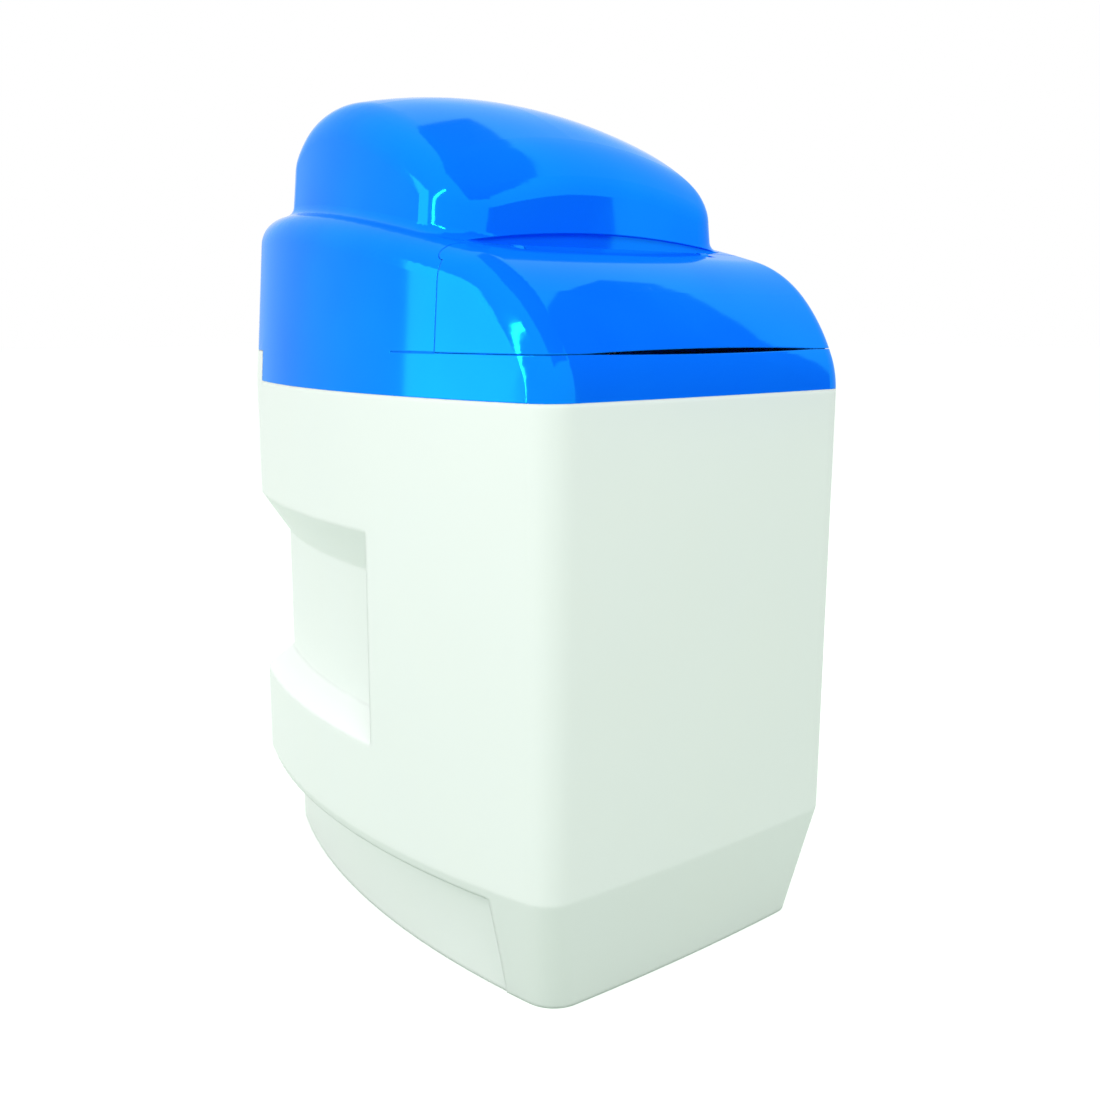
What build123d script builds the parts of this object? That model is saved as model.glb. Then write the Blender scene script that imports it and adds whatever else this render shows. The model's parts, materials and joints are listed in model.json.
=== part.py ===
from math import atan2, cos, pi, radians, sin, sqrt, tan
import os

from build123d import *

os.makedirs("parts", exist_ok=True)

# Cabinet: a tall tub with bowed side walls, a toe, a plinth and two hand recesses
cabinet_width = 340
cabinet_depth = 470
rim_height = 425
cabinet_wall = 4
side_radius = 680
widest_at = -65
front_bow = 4
front_corner_radius = 25
rear_corner_radius = 70

# Toe and plinth under the cabinet
toe_height = 88
toe_width = 283
toe_depth = 455
toe_side_radius = 780
toe_widest_at = -100
toe_rear_corner_radius = 45
plinth_height = 80
plinth_step = 1
plinth_corner_radius = 25
plinth_front_at = -172
plinth_lean = 5
plinth_bend_radius = 28

# Hand recess in each side wall, open to the rear
recess_depth = 25
recess_front_at = -50
recess_low = 162
recess_wall_low = 178
recess_wall_high = 288
recess_high = 325

# Rim: a collar inside the wall locates the hood, and the rear wall stands higher
collar_inset = 4.8
collar_wall = 2.6
collar_low = 411
collar_high = 434
upstand_height = 25
upstand_at = 168

# Hood: two tiers of one moulding
hood_wall = 3
hood_edge_radius = 25
lower_profile = ((-235, 425), (-229.2, 451.9), (-199.1, 494.9), (-151.4, 521.7), (219.8, 562.2), (235, 562))
lower_draft = 4
upper_draft = 5
hood_rise = 260
upper_inset = 19
upper_front_corner_radius = 50
upper_rear_corner_radius = 80
upper_edge_radius = 31
crown_axis_height = 200
tier_blend = 8
upper_profile = ((-128, 531), (-84.6, 608.4), (15.7, 647.6), (104.5, 648.6), (203.8, 579.3))
overrun = 10
upward = 1

# Shadow slot in the front of the upper tier, a lens shape in the front view
slot_half_width = 130
slot_end_height = 529
slot_low = 523
slot_high = 538
slot_front_at = -131
slot_rear_at = -117

# Salt lid, hinged along its rear edge
lid_wall = 2.7
seam_height = 455
seam_gap = 0.5
lid_rear_gap = 0.4
hinge_at = (-131, 521.5)
roll_radius = 6
roll_gap = 0.4
ear_inner = 90
ear_outer = 98
ear_side_gap = 0.4
ear_web_depth = 18
ear_web_low = 516
ear_web_high = 526
pin_radius = 2
pin_bore_gap = 0.1
pin_inner = 80
pin_outer = 108
finger_half_width = 125
finger_low = 453.6
finger_high = 457.4
finger_depth = 20
ledge_inset = 5.5
ledge_low = 447
ledge_high = 461
ledge_side_rear = -125
ledge_side_front = -137
ledge_side_high = 508
groove_rear_at = -84
groove_depth = 0.8
groove_height = 1

# Openings in the rear of the hood
upstand_gap = 0.6
port_notch_half_width = 88
port_notch_at = 200
port_notch_high = 540

# Brine well, its cap and the safety brine valve in it
well_at = (89, -100)
well_radius = 45
well_wall = 2.5
well_low = 4
well_high = 412
well_slot_width = 5
well_slot_heights = (14, 60)
well_slot_count = 8
cap_top = 415
cap_skirt_low = 402
cap_radius = 47.6
cap_gap = 0.3
cap_knob_radius = 9
cap_knob_height = 12
pickup_radius = 6
pickup_wall = 1.5
pickup_low = 40
pickup_high = 336
stop_radius = 10
stop_heights = (172, 178)
float_radius = 30
float_bore_radius = 7
float_heights = (178, 228)
float_edge_radius = 6
float_rod_at = 20
float_rod_radius = 2.5
float_rod_heights = (202, 342)
brine_valve_radius = 14
brine_valve_heights = (330, 388)
brine_arm_reach = 27
brine_arm_half_width = 6
brine_arm_heights = (332, 338)
brine_arm_gap = 0.3
air_check_radius = 12
air_check_heights = (8, 58)
air_check_slot_width = 3
air_check_slot_heights = (14, 34)
fit_gap = 0.3
share_half = 0.5
root_depth_share = 1.2
button_count = 4
button_edge = 0.8
bypass_edge = 5
blade_turn = 90

# Brine line from the well to the valve, in one upright plane
line_at = well_at[0]
line_low_at = -40
line_turn_height = 360
line_tube_radius = 4.76
line_bore_radius = 3.2
line_bend_radius = 40
line_low = 378
line_high = 488
line_end_at = 46
fitting_radius = 7
fitting_bore_radius = 3.5
knuckle_swell = 0.4
nut_radius = 9.5
nut_length = 12
nut_gap = 0.02
well_hole_radius = 7.6

# Pressure vessel with its base, bed, riser and strainers
vessel_at = (0, 85)
vessel_radius = 101.5
vessel_wall = 3
vessel_bottom = 12
vessel_flat_radius = 40
vessel_side_low = 73.5
vessel_side_high = 366.5
vessel_shoulder = 432
neck_radius = 36
neck_bore_radius = 30.3
neck_top = 452
boot_radius = 104.5
boot_low = 4
boot_high = 64
boot_foot_radius = 60
bed_top = 300
bed_gap = 0.3
riser_radius = 13.3
riser_wall = 1.6
riser_low = 30
riser_high = 450
lower_strainer_radius = 22
lower_strainer_heights = (16, 60)
strainer_floor = 4
strainer_slot_height = 1.5
strainer_slot_pitch = 5
strainer_slot_count = 6
strainer_skin = 3
upper_strainer_radius = 24
upper_strainer_heights = (404, 430)
seal_radii = (31, 34.5)
seal_bite = 1
seal_heights = (450, 452)

# Control valve body: a barrel along Y on a threaded stub
stub_radius = 30
stub_bore_radius = 20
stub_low = 430
flange_radius = 41
flange_high = 466
barrel_height = 520
barrel_radius = 27
barrel_bore_radius = 19
barrel_front_at = 25
barrel_rear_at = 150
barrel_bore_end_at = 132
body_half_width = 42
body_front_at = 48
body_rear_at = 124
body_high = 505
port_spacing = 76
port_height = 505
port_radius = 15
port_bore_radius = 11
port_end_at = 176
manifold_half_width = 54
manifold_ends = (96, 136)
manifold_heights = (490, 521)
side_port_height = 488
drain_port_at = 60
brine_port_at = 60
side_boss_radius = 9
side_boss_reach = 60
side_bore_radius = 4
injector_at = 84
injector_boss_reach = 50
injector_cap_radius = 11
injector_cap_length = 8

# Piston, seal stack and bore cap in the barrel
stack_radius = 18.7
stack_bore_radius = 13.05
stack_ends = (40, 128)
stack_window_half_width = 5
stack_windows_at = (52, 68, 84, 100, 116)
piston_radius = 13
piston_waist_radius = 9
piston_ends = (46, 96)
piston_waists = ((56, 64), (74, 86))
rod_radius = 4
rod_front_at = -14
bore_cap_hole_radius = 4.05
bore_cap_plug_end = 40
bore_cap_rim_end = 31

# Drive: housing, gears and motor
housing_half_width = 58
housing_heights = (468, 594)
housing_front_at = -22
housing_rear_at = 25
housing_wall = 3
bearing_radius = 14
bearing_front_at = 8
gear_module = 1
tooth_tip_share = 0.42
tooth_root_share = 0.60
tooth_backlash = 0.12
main_teeth = 72
small_teeth = 12
wheel_teeth = 36
main_ends = (-6, 4)
main_hub_radius = 10
main_hub_end = 14
main_bore_radius = 4.05
main_rim_share = 0.80
main_web_ends = (-3, 1)
wheel_ends = (-14, -8)
small_ends = (-8, 4)
axle_radius = 2
axle_front_at = -16
running_gap = 0.05
motor_radius = 18
motor_ends = (25, 58)
motor_shaft_radius = 1.5
motor_ear_radius = 4
motor_ear_span = 24

# Control cover, board, display and buttons
cover_half_width = 61.3
cover_heights = (464.7, 597.3)
cover_front_at = -54
cover_rear_at = -12
cover_wall = 3
cover_edge_radius = 8
board_half_width = 52
board_heights = (474, 588)
board_ends = (-32, -30.4)
post_radius = 3
post_offset = 6
module_half_width = 32
module_heights = (540, 570)
module_thickness = 5
window_half_width = 30
window_heights = (543, 567)
window_lip = 3
window_thickness = 2
button_height = 505
button_spacing = 22
button_radius = 6
button_gap = 0.3
button_proud = 2
button_flange_radius = 8
button_flange = 1.5
button_stem_radius = 3
button_stem_end = -35
inlet_height = 485
inlet_radius = 6
inlet_bore_radius = 2.8
inlet_pin_radius = 1
inlet_reach = 10
inlet_at = 6

# Meter in the outlet port
cage_radius = 10.8
cage_bore_radius = 9.6
cage_ends = (140, 168)
cage_bar_half_width = 1.2
cage_bar_depth = 2.5
cage_hub_radius = 2.6
turbine_pin_radius = 1.2
turbine_hub_radius = 3
turbine_ends = (146, 162)
turbine_radius = 8.8
turbine_blades = 4
turbine_blade = 1.4
sensor_radius = 6
sensor_at = 154
sensor_high = 534
sensor_seat = 519

# Bypass valve on the two ports
bypass_ends = (176, 214)
bypass_half_width = 55
bypass_half_height = 15
bypass_rotor_at = 195
rotor_radius = 10.95
rotor_bore_radius = 11
rotor_low = 488
rotor_high = 523
rotor_port_radius = 7.5
knob_radius = 14
knob_low = 523
knob_high = 533
lever_length = 18
lever_width = 7
collar_nut_radius = 20
collar_nut_ends = (165, 176)
tail_radius = 13.2
tail_bore_radius = 9.5
tail_collar_radius = 15
tail_collar_end = 218
tail_end = 234
drain_elbow_radius = 8
barb_radius = 6.5
barb_bore_radius = 4
barb_turn_at = -70
barb_end_at = 108
barb_length = 24

cabinet_front = -cabinet_depth / 2
cabinet_rear = cabinet_depth / 2
toe_front = cabinet_rear - toe_depth
upstand_top = rim_height + upstand_height
far = 2 * cabinet_depth


def bar(start, way, radius, length):
    """A round bar from a start point along a direction."""
    with BuildPart(Plane(start, z_dir=way)) as piece:
        Cylinder(radius, length, align=(Align.CENTER, Align.CENTER, Align.MIN))
    return piece.part


def block(low, high):
    """A box between its low and high corners."""
    with BuildPart(Plane(low)) as piece:
        Box(
            high[0] - low[0], high[1] - low[1], high[2] - low[2],
            align=(Align.MIN, Align.MIN, Align.MIN),
        )
    return piece.part


def turned(start, way, outline):
    """A turned piece; its outline points are (radius, distance along the axis)."""
    axis_way = Vector(*way)
    radial = Vector(0, 1, 0) if abs(axis_way.X) == 1 else Vector(1, 0, 0)
    with BuildPart() as piece:
        with BuildSketch(Plane(start, x_dir=radial, z_dir=radial.cross(axis_way))):
            with BuildLine():
                Polyline(*outline, close=True)
            make_face()
        revolve(axis=Axis(start, way))
    return piece.part


def ring(start, way, outer, inner, length):
    return turned(start, way, [(inner, 0), (outer, 0), (outer, length), (inner, length)])


def hex_bar(start, way, radius, length):
    with BuildPart() as piece:
        with BuildSketch(Plane(start, z_dir=way)):
            RegularPolygon(radius, 6)
        extrude(amount=length)
    return piece.part


def save(part, name):
    """Label a piece and write its file."""
    part.label = name
    export_step(part, f"parts/{name}.step")
    solids = len(part.solids())
    print(name, solids, round(part.volume / 1000, 1))


def plan_sketch(level, width, widest, radius, front, rear, front_corner, rear_corner, inset=0):
    """Sketch the plan of a form: bowed front, bowed sides, straight rear."""
    half = width / 2 - inset
    bend = radius - inset
    front_y = front + inset
    corner_y = front_y + front_bow
    rear_y = rear - inset
    front_x = half - bend + sqrt(bend**2 - (corner_y - widest) ** 2)
    rear_x = half - bend + sqrt(bend**2 - (rear_y - widest) ** 2)
    with BuildSketch(Plane.XY.offset(level)) as plan:
        with BuildLine():
            ThreePointArc((-front_x, corner_y), (0, front_y), (front_x, corner_y))
            ThreePointArc((front_x, corner_y), (half, widest), (rear_x, rear_y))
            Line((rear_x, rear_y), (-rear_x, rear_y))
            ThreePointArc((-rear_x, rear_y), (-half, widest), (-front_x, corner_y))
        make_face()
        if front_corner > inset:
            fillet(plan.vertices().group_by(Axis.Y)[0], front_corner - inset)
        fillet(plan.vertices().group_by(Axis.Y)[-1], rear_corner - inset)
    return plan.sketch


def cabinet_plan(level, inset=0, narrower=0):
    """Plan of the cabinet above its toe; narrower takes the same off both sides only."""
    return plan_sketch(
        level, cabinet_width - 2 * narrower, widest_at, side_radius - narrower,
        cabinet_front, cabinet_rear, front_corner_radius, rear_corner_radius, inset,
    )


def toe_plan(level, inset=0):
    return plan_sketch(
        level, toe_width, toe_widest_at, toe_side_radius, toe_front, cabinet_rear,
        front_corner_radius, toe_rear_corner_radius, inset,
    )


def cabinet_form(inset):
    """The cabinet as a closed form, or with an inset the space inside its walls."""
    with BuildPart() as plinth_cut:
        with BuildSketch(Plane.YZ) as side_view:
            front_y = plinth_front_at - inset
            top_z = plinth_height + inset
            with BuildLine():
                Polyline(
                    (front_y, -overrun), (front_y - plinth_lean, top_z),
                    (cabinet_rear + overrun, top_z), (cabinet_rear + overrun, -overrun),
                    close=True,
                )
            make_face()
            fillet(side_view.vertices().sort_by(Axis.Y)[0:1], plinth_bend_radius + inset)
        extrude(amount=cabinet_width, both=True)
        plinth_plan = plan_sketch(
            -overrun, toe_width - 2 * plinth_step, toe_widest_at, toe_side_radius,
            toe_front + plinth_step, cabinet_rear - plinth_step,
            plinth_corner_radius, plinth_corner_radius, inset,
        )
        extrude(plinth_plan, amount=toe_height + 2 * overrun, mode=Mode.SUBTRACT)
    with BuildPart() as recess_cut:
        slab_low = recess_low - inset
        slab_high = recess_high + inset
        with BuildSketch(Plane.XY.offset(slab_low)):
            with Locations((0, (recess_front_at - inset + cabinet_rear + overrun) / 2)):
                Rectangle(2 * cabinet_width, cabinet_rear + overrun - recess_front_at + inset)
        extrude(amount=slab_high - slab_low)
        floor_edge = cabinet_plan(slab_low, inset)
        wall_low = cabinet_plan(recess_wall_low - inset, inset, recess_depth)
        wall_high = cabinet_plan(recess_wall_high + inset, inset, recess_depth)
        roof_edge = cabinet_plan(slab_high, inset)
        loft([floor_edge, wall_low], ruled=True, mode=Mode.SUBTRACT)
        extrude(wall_low, amount=recess_wall_high - recess_wall_low + 2 * inset, mode=Mode.SUBTRACT)
        loft([wall_high, roof_edge], ruled=True, mode=Mode.SUBTRACT)
    with BuildPart() as form:
        toe_top = cabinet_plan(toe_height, inset)
        extrude(toe_top, amount=rim_height - toe_height)
        loft([toe_plan(inset, inset), toe_top], ruled=True)
        add(plinth_cut.part, mode=Mode.SUBTRACT)
        add(recess_cut.part, mode=Mode.SUBTRACT)
    return form.part


def crest_edges(tier, above):
    """Edges round the crest faces of a tier, without those between two of them."""
    wall_kinds = (GeomType.CYLINDER, GeomType.PLANE, GeomType.CONE)
    crest = [face for face in tier.faces() if face.geom_type not in wall_kinds]
    seen = {}
    for face in crest:
        for edge in face.edges():
            middle = edge @ 0.5
            key = (round(middle.X, 2), round(middle.Y, 2), round(middle.Z, 2))
            seen.setdefault(key, []).append(edge)
    outer = [edges[0] for edges in seen.values() if len(edges) == 1]
    return [edge for edge in outer if edge.bounding_box().max.Z > above]


def moved_in(points, inset):
    """Offset a chain of tangent arcs that starts upright to its inner side."""
    heading = pi / 2
    moved = []
    for index, (y, z) in enumerate(points):
        moved.append((y + inset * sin(heading), z - inset * cos(heading)))
        if index + 1 < len(points):
            chord = atan2(points[index + 1][1] - z, points[index + 1][0] - y)
            heading = 2 * chord - heading
    return moved


def arc_chain(points, way):
    """Draw tangent arcs through the points of a profile, the first one starting along Z."""
    tangent = (0, way)
    for start, end in zip(points, points[1:]):
        arc = TangentArc(start, end, tangent=tangent)
        tangent = arc % 1


def lower_tier(inset):
    """Closed form of the hood's lower tier, with its crest edges rounded."""
    low_z = rim_height - 2 * overrun
    half = cabinet_width / 2
    corner_y = cabinet_front + front_bow
    front_x = half - side_radius + sqrt(side_radius**2 - (corner_y - widest_at) ** 2)
    bow_radius = (front_x**2 + front_bow**2) / (2 * front_bow)
    points = moved_in(lower_profile, inset)
    spread = (rim_height - low_z) * tan(radians(lower_draft))
    plan = plan_sketch(
        low_z, cabinet_width + 2 * spread, widest_at, side_radius + spread, cabinet_front - 2 * overrun,
        cabinet_rear + spread, 0, rear_corner_radius + spread, inset,
    )
    with BuildPart() as tier:
        extrude(plan, amount=hood_rise, taper=lower_draft)
        with BuildSketch(Plane.YZ) as profile:
            with BuildLine():
                arc_chain(points, upward)
                Polyline(
                    points[-1], (cabinet_rear + 2 * overrun, points[-1][1]),
                    (cabinet_rear + 2 * overrun, low_z - overrun),
                    (points[0][0], low_z - overrun), points[0],
                )
            make_face()
        bow_axis = Axis((0, cabinet_front + bow_radius, 0), (0, 0, 1))
        revolve(profile.sketch, axis=bow_axis, mode=Mode.INTERSECT)
        fillet(crest_edges(tier, rim_height + overrun), hood_edge_radius - inset)
    return tier.part


def upper_tier(inset):
    """Closed form of the hood's upper tier, crowned about an axis along Y."""
    points = [(y, 2 * crown_axis_height - z) for y, z in moved_in(upper_profile, inset)]
    end_y, end_z = points[-1]
    narrower = upper_inset - overrun * tan(radians(upper_draft))
    plan = plan_sketch(
        rim_height - overrun, cabinet_width - 2 * narrower, widest_at, side_radius - narrower,
        upper_profile[0][0] - front_bow, upper_profile[-1][0] + upper_inset - narrower,
        upper_front_corner_radius, upper_rear_corner_radius, inset,
    )
    with BuildPart() as tier:
        extrude(plan, amount=hood_rise, taper=upper_draft)
        with BuildSketch(Plane.YZ) as profile:
            with BuildLine():
                arc_chain(points, -upward)
                Polyline(
                    points[-1], (end_y + 3 * overrun, end_z + 6 * overrun),
                    (end_y + 3 * overrun, crown_axis_height - 2 * overrun),
                    (points[0][0] - overrun, crown_axis_height - 2 * overrun),
                    (points[0][0] - overrun, points[0][1]), points[0],
                )
            make_face()
        revolve(profile.sketch, axis=Axis((0, 0, crown_axis_height), (0, 1, 0)), mode=Mode.INTERSECT)
        fillet(crest_edges(tier, slot_high + 2 * overrun), upper_edge_radius - inset)
    return tier.part


def slot_tool(inset):
    """The lens-shaped shadow slot, or with an inset the pocket that holds it."""
    with BuildPart() as tool:
        with BuildSketch(Plane.XZ.offset(-slot_rear_at - inset)):
            ends = (slot_half_width + 2 * inset, slot_end_height)
            with BuildLine():
                ThreePointArc((-ends[0], ends[1]), (0, slot_low - inset), ends)
                ThreePointArc(ends, (0, slot_high + inset), (-ends[0], ends[1]))
            make_face()
        extrude(amount=slot_rear_at - slot_front_at + 2 * inset)
    return tool.part


def edge_places(shape):
    """The middle of each edge, rounded so that equal edges compare equal."""
    return {tuple(round(value, 1) for value in (edge @ 0.5)) for edge in shape.edges()}


def joint_edges(form, lower, upper):
    """Curved edges where the two tiers meet, which neither tier has by itself."""
    known = edge_places(lower) | edge_places(upper)
    return [
        edge for edge in form.edges().filter_by(GeomType.BSPLINE)
        if tuple(round(value, 1) for value in (edge @ 0.5)) not in known
        and (edge @ 0.5).Z > slot_low - overrun
    ]


def hood_form(inset):
    """Both tiers as one closed form, or the space inside a wall of that thickness."""
    with BuildPart() as form:
        lower = lower_tier(inset)
        upper = upper_tier(inset)
        add(lower)
        add(upper)
        fillet(joint_edges(form, lower, upper), tier_blend + inset)
        add(slot_tool(inset), mode=Mode.SUBTRACT)
    return form.part


def front_block(rear_at, low):
    """Everything in front of a plane and above a height."""
    return block((-far, -far, low), (far, rear_at, far))


def both_sides(low, high):
    """A block between two corners and its mirror image."""
    with BuildPart() as pair:
        add(block(low, high))
        mirror(about=Plane.YZ)
    return pair.part


def finger_tool():
    """The finger gap in the middle of the seam under the salt lid."""
    with BuildPart() as tool:
        with BuildSketch(Plane.XZ.offset(-(cabinet_front + finger_depth))):
            left = (-finger_half_width, seam_height)
            right = (finger_half_width, seam_height)
            with BuildLine():
                ThreePointArc(left, (0, finger_low), right)
                ThreePointArc(right, (0, finger_high), left)
            make_face()
        extrude(amount=2 * finger_depth)
    return tool.part


hinge_line = (-far, hinge_at[0], hinge_at[1])
outer_lower = lower_tier(0)
outer_form = hood_form(0)
inner_form = hood_form(hood_wall)
print("hood forms built")

with BuildPart() as cabinet:
    add(cabinet_form(0))
    add(cabinet_form(cabinet_wall), mode=Mode.SUBTRACT)
    extrude(cabinet_plan(collar_low, cabinet_wall / 2), amount=rim_height - collar_low)
    extrude(cabinet_plan(rim_height, collar_inset), amount=collar_high - rim_height)
    with BuildPart(mode=Mode.PRIVATE) as upstand:
        extrude(cabinet_plan(rim_height), amount=upstand_height, taper=lower_draft)
        add(block((-far, -far, 0), (far, upstand_at, far)), mode=Mode.SUBTRACT)
    add(upstand.part)
    rim_opening = cabinet_plan(collar_low - overrun, collar_inset + collar_wall)
    extrude(rim_opening, amount=cabinet_width, mode=Mode.SUBTRACT)
save(cabinet.part, "cabinet")

# The hood is cut as one half and mirrored
with BuildPart() as half_hood:
    add(outer_form)
    add(block((-far, -far, 0), (far, far, rim_height)), mode=Mode.SUBTRACT)
    add(block((-far, -far, 0), (0, far, far)), mode=Mode.SUBTRACT)
    add(inner_form, mode=Mode.SUBTRACT)
    add(front_block(hinge_at[0] + lid_rear_gap, seam_height - seam_gap / 2), mode=Mode.SUBTRACT)
    add(bar(hinge_line, (1, 0, 0), roll_radius + roll_gap, 2 * far), mode=Mode.SUBTRACT)
    with BuildPart(mode=Mode.PRIVATE) as ledge:
        add(lower_tier(hood_wall))
        add(lower_tier(ledge_inset), mode=Mode.SUBTRACT)
        with BuildPart(mode=Mode.PRIVATE) as ledge_zone:
            add(block((-far, -far, ledge_low), (far, ledge_side_rear, ledge_high)))
            add(block((-far, ledge_side_front, ledge_low), (far, ledge_side_rear, ledge_side_high)))
        add(ledge_zone.part, mode=Mode.INTERSECT)
        add(block((-far, -far, 0), (0, far, far)), mode=Mode.SUBTRACT)
    add(ledge.part)
    add(finger_tool(), mode=Mode.SUBTRACT)
    add(
        block((ear_inner, hinge_at[0], ear_web_low), (ear_outer, hinge_at[0] + ear_web_depth, ear_web_high))
    )
    add(bar((ear_inner, *hinge_at), (1, 0, 0), roll_radius - roll_gap, ear_outer - ear_inner))
    add(bar(hinge_line, (1, 0, 0), pin_radius, 2 * far), mode=Mode.SUBTRACT)
    with BuildPart(mode=Mode.PRIVATE) as groove:
        groove_low = seam_height - groove_height / 2
        add(block((-far, hinge_at[0], groove_low), (far, groove_rear_at, groove_low + groove_height)))
        add(lower_tier(groove_depth), mode=Mode.SUBTRACT)
    add(groove.part, mode=Mode.SUBTRACT)
    upstand_clear = (-far, upstand_at - upstand_gap, 0)
    add(block(upstand_clear, (far, far, upstand_top + upstand_gap)), mode=Mode.SUBTRACT)
    add(
        block((-port_notch_half_width, port_notch_at, 0), (port_notch_half_width, far, port_notch_high)),
        mode=Mode.SUBTRACT,
    )
other_half = half_hood.part.mirror(Plane.YZ)
with BuildPart() as hood:
    add(half_hood.part)
    add(other_half, clean=False)
save(hood.part, "hood")

with BuildPart() as salt_lid:
    add(outer_lower)
    add(lower_tier(lid_wall), mode=Mode.SUBTRACT)
    add(front_block(hinge_at[0], seam_height + seam_gap / 2), mode=Mode.INTERSECT)
    with BuildPart(mode=Mode.PRIVATE) as roll:
        add(bar(hinge_line, (1, 0, 0), roll_radius, 2 * far))
        add(outer_lower, mode=Mode.INTERSECT)
    add(roll.part)
    add(
        both_sides(
            (ear_inner - ear_side_gap, hinge_at[0] - roll_radius - overrun / 2, ear_web_low - overrun),
            (ear_outer + ear_side_gap, hinge_at[0] + overrun, seam_height + far),
        ),
        mode=Mode.SUBTRACT,
    )
    for side in (pin_inner, -pin_outer):
        add(
            bar((side, *hinge_at), (1, 0, 0), pin_radius + pin_bore_gap, pin_outer - pin_inner),
            mode=Mode.SUBTRACT,
        )
    add(finger_tool(), mode=Mode.SUBTRACT)
save(salt_lid.part, "salt_lid")

with BuildPart() as hinge_pins:
    for side in (pin_inner, -pin_outer):
        add(bar((side, *hinge_at), (1, 0, 0), pin_radius, pin_outer - pin_inner))
save(hinge_pins.part, "hinge_pins")

# Brine well and what stands in it
well_x, well_y = well_at

with BuildPart() as brine_well:
    add(ring((well_x, well_y, well_low), (0, 0, 1), well_radius, well_radius - well_wall, well_high - well_low))
    for index in range(well_slot_count):
        turn = 2 * pi * (index + share_half) / well_slot_count
        way = (cos(turn), sin(turn), 0)
        for low in well_slot_heights:
            start = (well_x, well_y, low + well_slot_width)
            add(bar(start, way, well_slot_width / 2, well_radius + overrun), mode=Mode.SUBTRACT)
    add(bar((well_x, well_y, line_turn_height), (0, 1, 0), well_hole_radius, far), mode=Mode.SUBTRACT)
save(brine_well.part, "brine_well")

with BuildPart() as brine_well_cap:
    add(
        turned(
            (well_x, well_y, 0), (0, 0, 1),
            [
                (0, well_high), (well_radius + cap_gap, well_high), (well_radius + cap_gap, cap_skirt_low),
                (cap_radius, cap_skirt_low), (cap_radius, cap_top), (cap_knob_radius, cap_top),
                (cap_knob_radius, cap_top + cap_knob_height), (0, cap_top + cap_knob_height),
            ],
        )
    )
save(brine_well_cap.part, "brine_well_cap")

with BuildPart() as pickup_tube:
    add(
        turned(
            (well_x, well_y, 0), (0, 0, 1),
            [
                (pickup_radius - pickup_wall, pickup_low), (pickup_radius, pickup_low),
                (pickup_radius, stop_heights[0]), (stop_radius, stop_heights[0]),
                (stop_radius, stop_heights[1]), (pickup_radius, stop_heights[1]),
                (pickup_radius, pickup_high), (pickup_radius - pickup_wall, pickup_high),
            ],
        )
    )
save(pickup_tube.part, "pickup_tube")

with BuildPart() as air_check:
    low, high = air_check_heights
    socket = pickup_radius + fit_gap
    add(
        turned(
            (well_x, well_y, 0), (0, 0, 1),
            [
                (0, low), (air_check_radius, low), (air_check_radius, high), (socket, high),
                (socket, pickup_low), (pickup_radius - pickup_wall, pickup_low),
                (pickup_radius - pickup_wall, low + strainer_floor), (0, low + strainer_floor),
            ],
        )
    )
    slot_low_z, slot_high_z = air_check_slot_heights
    half = air_check_slot_width / 2
    add(
        block((well_x - half, -far, slot_low_z), (well_x + half, far, slot_high_z)),
        mode=Mode.SUBTRACT,
    )
    add(
        block((-far, well_y - half, slot_low_z), (far, well_y + half, slot_high_z)),
        mode=Mode.SUBTRACT,
    )
save(air_check.part, "air_check")

with BuildPart() as brine_valve_body:
    low, high = brine_valve_heights
    add(
        turned(
            (well_x, well_y, 0), (0, 0, 1),
            [
                (0, high), (0, pickup_high), (pickup_radius + fit_gap, pickup_high),
                (pickup_radius + fit_gap, low), (brine_valve_radius, low), (brine_valve_radius, high),
            ],
        )
    )
    arm_low, arm_high = brine_arm_heights
    add(
        block(
            (well_x - brine_arm_reach, well_y - brine_arm_half_width, arm_low),
            (well_x - pickup_radius - 2 * fit_gap, well_y + brine_arm_half_width, arm_high),
        )
    )
    add(
        bar((well_x - float_rod_at, well_y, 0), (0, 0, 1), float_rod_radius + brine_arm_gap, far),
        mode=Mode.SUBTRACT,
    )
save(brine_valve_body.part, "brine_valve_body")

with BuildPart() as float_piece:
    low, high = float_heights
    add(ring((well_x, well_y, low), (0, 0, 1), float_radius, float_bore_radius, high - low))
    outer_edges = float_piece.edges().filter_by(GeomType.CIRCLE).sort_by(SortBy.RADIUS)[-2:]
    fillet(outer_edges, float_edge_radius)
    add(
        bar((well_x - float_rod_at, well_y, float_rod_heights[0]), (0, 0, 1), float_rod_radius, far),
        mode=Mode.SUBTRACT,
    )
save(float_piece.part, "float")

with BuildPart() as float_rod:
    low, high = float_rod_heights
    add(bar((well_x - float_rod_at, well_y, low), (0, 0, 1), float_rod_radius, high - low))
save(float_rod.part, "float_rod")

with BuildPart() as brine_valve_elbow:
    start_y = well_y + brine_valve_radius
    add(bar((well_x, start_y, line_turn_height), (0, 1, 0), fitting_radius, line_low_at - start_y))
    add(bar((line_at, line_low_at, line_turn_height), (0, 0, 1), fitting_radius, line_low - line_turn_height))
    with BuildPart(mode=Mode.PRIVATE) as knuckle:
        with Locations((line_at, line_low_at, line_turn_height)):
            Sphere(fitting_radius + knuckle_swell)
    add(knuckle.part)
    bore_end = line_turn_height
    add(
        bar((line_at, line_low_at, bore_end), (0, 0, 1), fitting_bore_radius, line_low - bore_end),
        mode=Mode.SUBTRACT,
    )
    add(
        bar((well_x, start_y, line_turn_height), (0, 1, 0), fitting_bore_radius, line_low_at - start_y),
        mode=Mode.SUBTRACT,
    )
save(brine_valve_elbow.part, "brine_valve_elbow")

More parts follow.
